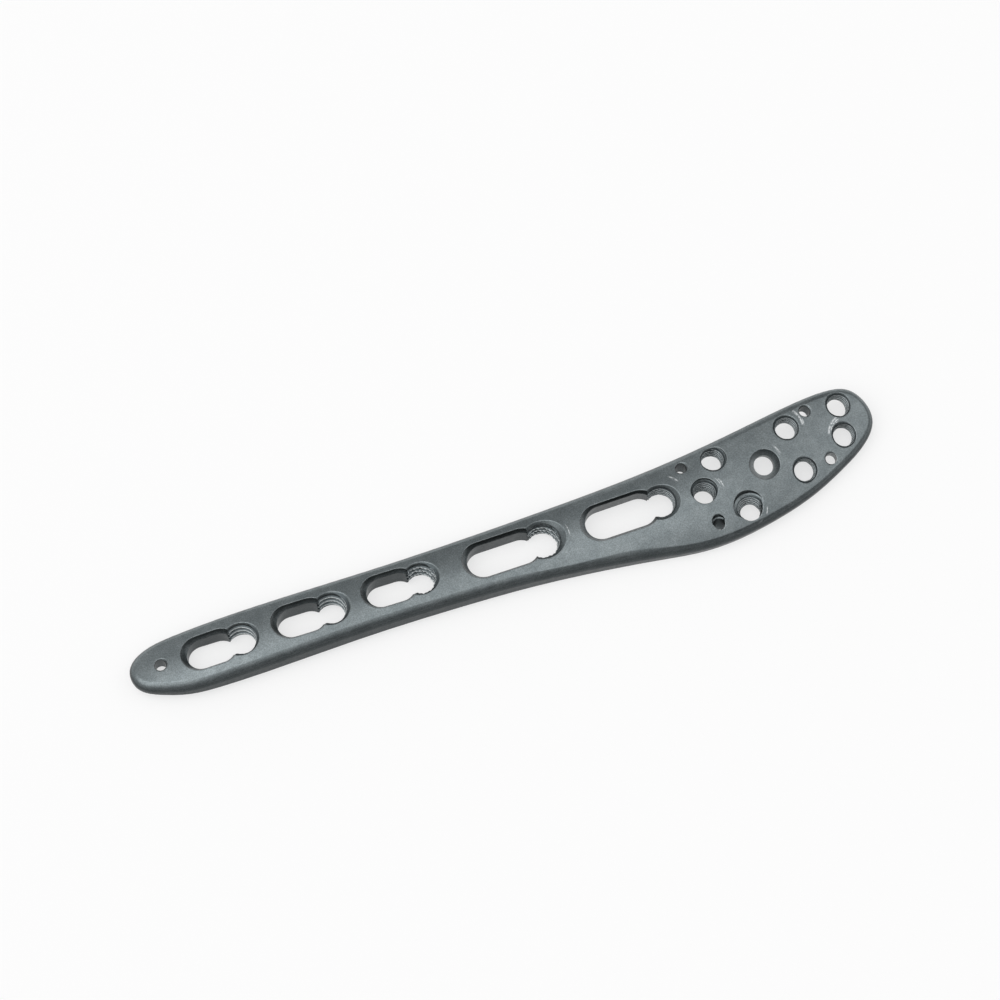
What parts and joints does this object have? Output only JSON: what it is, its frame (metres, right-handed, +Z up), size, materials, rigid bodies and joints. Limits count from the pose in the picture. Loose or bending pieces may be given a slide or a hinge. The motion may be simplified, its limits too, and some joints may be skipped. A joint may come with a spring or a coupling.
{
  "type": "orthopedic bone plate",
  "caption": "Anatomically curved metal bone plate: a domed shaft with combination screw holes widens and twists into a thin head with angled locking holes.",
  "frame": {"origin": "middle of the plate's box, at the level it rests on", "axes": "+X along the plate from the shaft's tip to the head, +Y across it, +Z up, away from the bone"},
  "size_m": [0.1366, 0.02, 0.0063],
  "materials": {
    "titanium": "satin"
  },
  "bodies": {
    "root": {"bone_plate": "titanium"}
  },
  "joints": []
}
